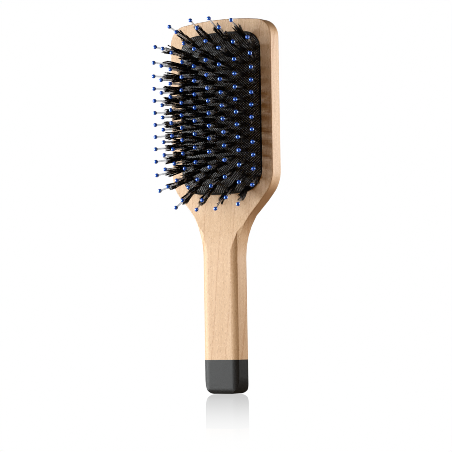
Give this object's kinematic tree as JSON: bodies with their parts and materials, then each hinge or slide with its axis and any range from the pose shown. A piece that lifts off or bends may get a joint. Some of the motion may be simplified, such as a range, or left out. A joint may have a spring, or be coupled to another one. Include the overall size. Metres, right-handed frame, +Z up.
{
  "type": "paddle brush",
  "caption": "Rectangular wooden hair brush with a domed air-cushion pad, boar tufts round ball-tipped nylon quills, a faceted handle and a dark end cap.",
  "frame": {"origin": "centre of the end cap's flat base, on which the brush stands upright", "axes": "+Z up the handle to the head, +X across the width, -Y the way the bristles point, +Y the flat back"},
  "size_m": [0.073, 0.0396, 0.225],
  "materials": {
    "beech": "clear matt lacquer",
    "cap": "soft-touch satin",
    "pad": "woven fabric face on rubber",
    "nylon": "translucent drawn nylon",
    "ball_tip": "glossy cured resin",
    "boar_bristle": "dark natural bristle",
    "anchor_wire": "plain drawn wire"
  },
  "bodies": {
    "body": {"wooden_body": "beech", "end_cap": "cap", "cushion_pad": "pad"},
    "bristles_1": {"quills_1": "nylon", "ball_tips_1": "ball_tip", "bristle_tufts_1": "boar_bristle", "anchor_rings_1": "anchor_wire"},
    "bristles_2": {"quills_2": "nylon", "ball_tips_2": "ball_tip", "bristle_tufts_2": "boar_bristle", "anchor_rings_2": "anchor_wire"},
    "bristles_3": {"quills_3": "nylon", "ball_tips_3": "ball_tip", "bristle_tufts_3": "boar_bristle", "anchor_rings_3": "anchor_wire"},
    "bristles_4": {"quills_4": "nylon", "ball_tips_4": "ball_tip", "bristle_tufts_4": "boar_bristle", "anchor_rings_4": "anchor_wire"},
    "bristles_5": {"quills_5": "nylon", "ball_tips_5": "ball_tip", "bristle_tufts_5": "boar_bristle", "anchor_rings_5": "anchor_wire"},
    "bristles_6": {"quills_6": "nylon", "ball_tips_6": "ball_tip", "bristle_tufts_6": "boar_bristle", "anchor_rings_6": "anchor_wire"},
    "bristles_7": {"quills_7": "nylon", "ball_tips_7": "ball_tip", "bristle_tufts_7": "boar_bristle", "anchor_rings_7": "anchor_wire"},
    "bristles_8": {"quills_8": "nylon", "ball_tips_8": "ball_tip", "bristle_tufts_8": "boar_bristle", "anchor_rings_8": "anchor_wire"},
    "bristles_9": {"quills_9": "nylon", "ball_tips_9": "ball_tip", "bristle_tufts_9": "boar_bristle", "anchor_rings_9": "anchor_wire"}
  },
  "joints": [
    {"name": "cushion_press", "type": "slide", "parent": "body", "child": "bristles_5", "axis": [0, 1, 0], "range_m": [0, 0.003], "stiffness_N_per_m": 1500, "deforming": ["cushion_pad"]},
    {"name": "cushion_press_1", "type": "slide", "parent": "body", "child": "bristles_1", "axis": [0, 1, 0], "range_m": [0, 0.000658]},
    {"name": "cushion_press_2", "type": "slide", "parent": "body", "child": "bristles_2", "axis": [0, 1, 0], "range_m": [0, 0.00169]},
    {"name": "cushion_press_3", "type": "slide", "parent": "body", "child": "bristles_3", "axis": [0, 1, 0], "range_m": [0, 0.00242]},
    {"name": "cushion_press_4", "type": "slide", "parent": "body", "child": "bristles_4", "axis": [0, 1, 0], "range_m": [0, 0.00286]},
    {"name": "cushion_press_6", "type": "slide", "parent": "body", "child": "bristles_6", "axis": [0, 1, 0], "range_m": [0, 0.00286]},
    {"name": "cushion_press_7", "type": "slide", "parent": "body", "child": "bristles_7", "axis": [0, 1, 0], "range_m": [0, 0.00242]},
    {"name": "cushion_press_8", "type": "slide", "parent": "body", "child": "bristles_8", "axis": [0, 1, 0], "range_m": [0, 0.00169]},
    {"name": "cushion_press_9", "type": "slide", "parent": "body", "child": "bristles_9", "axis": [0, 1, 0], "range_m": [0, 0.000658]}
  ],
  "couplings": [
    {"joint": "cushion_press_1", "follows": "cushion_press", "ratio": 0.2159},
    {"joint": "cushion_press_2", "follows": "cushion_press", "ratio": 0.5589},
    {"joint": "cushion_press_3", "follows": "cushion_press", "ratio": 0.804},
    {"joint": "cushion_press_4", "follows": "cushion_press", "ratio": 0.951},
    {"joint": "cushion_press_6", "follows": "cushion_press", "ratio": 0.951},
    {"joint": "cushion_press_7", "follows": "cushion_press", "ratio": 0.804},
    {"joint": "cushion_press_8", "follows": "cushion_press", "ratio": 0.5589},
    {"joint": "cushion_press_9", "follows": "cushion_press", "ratio": 0.2159}
  ]
}
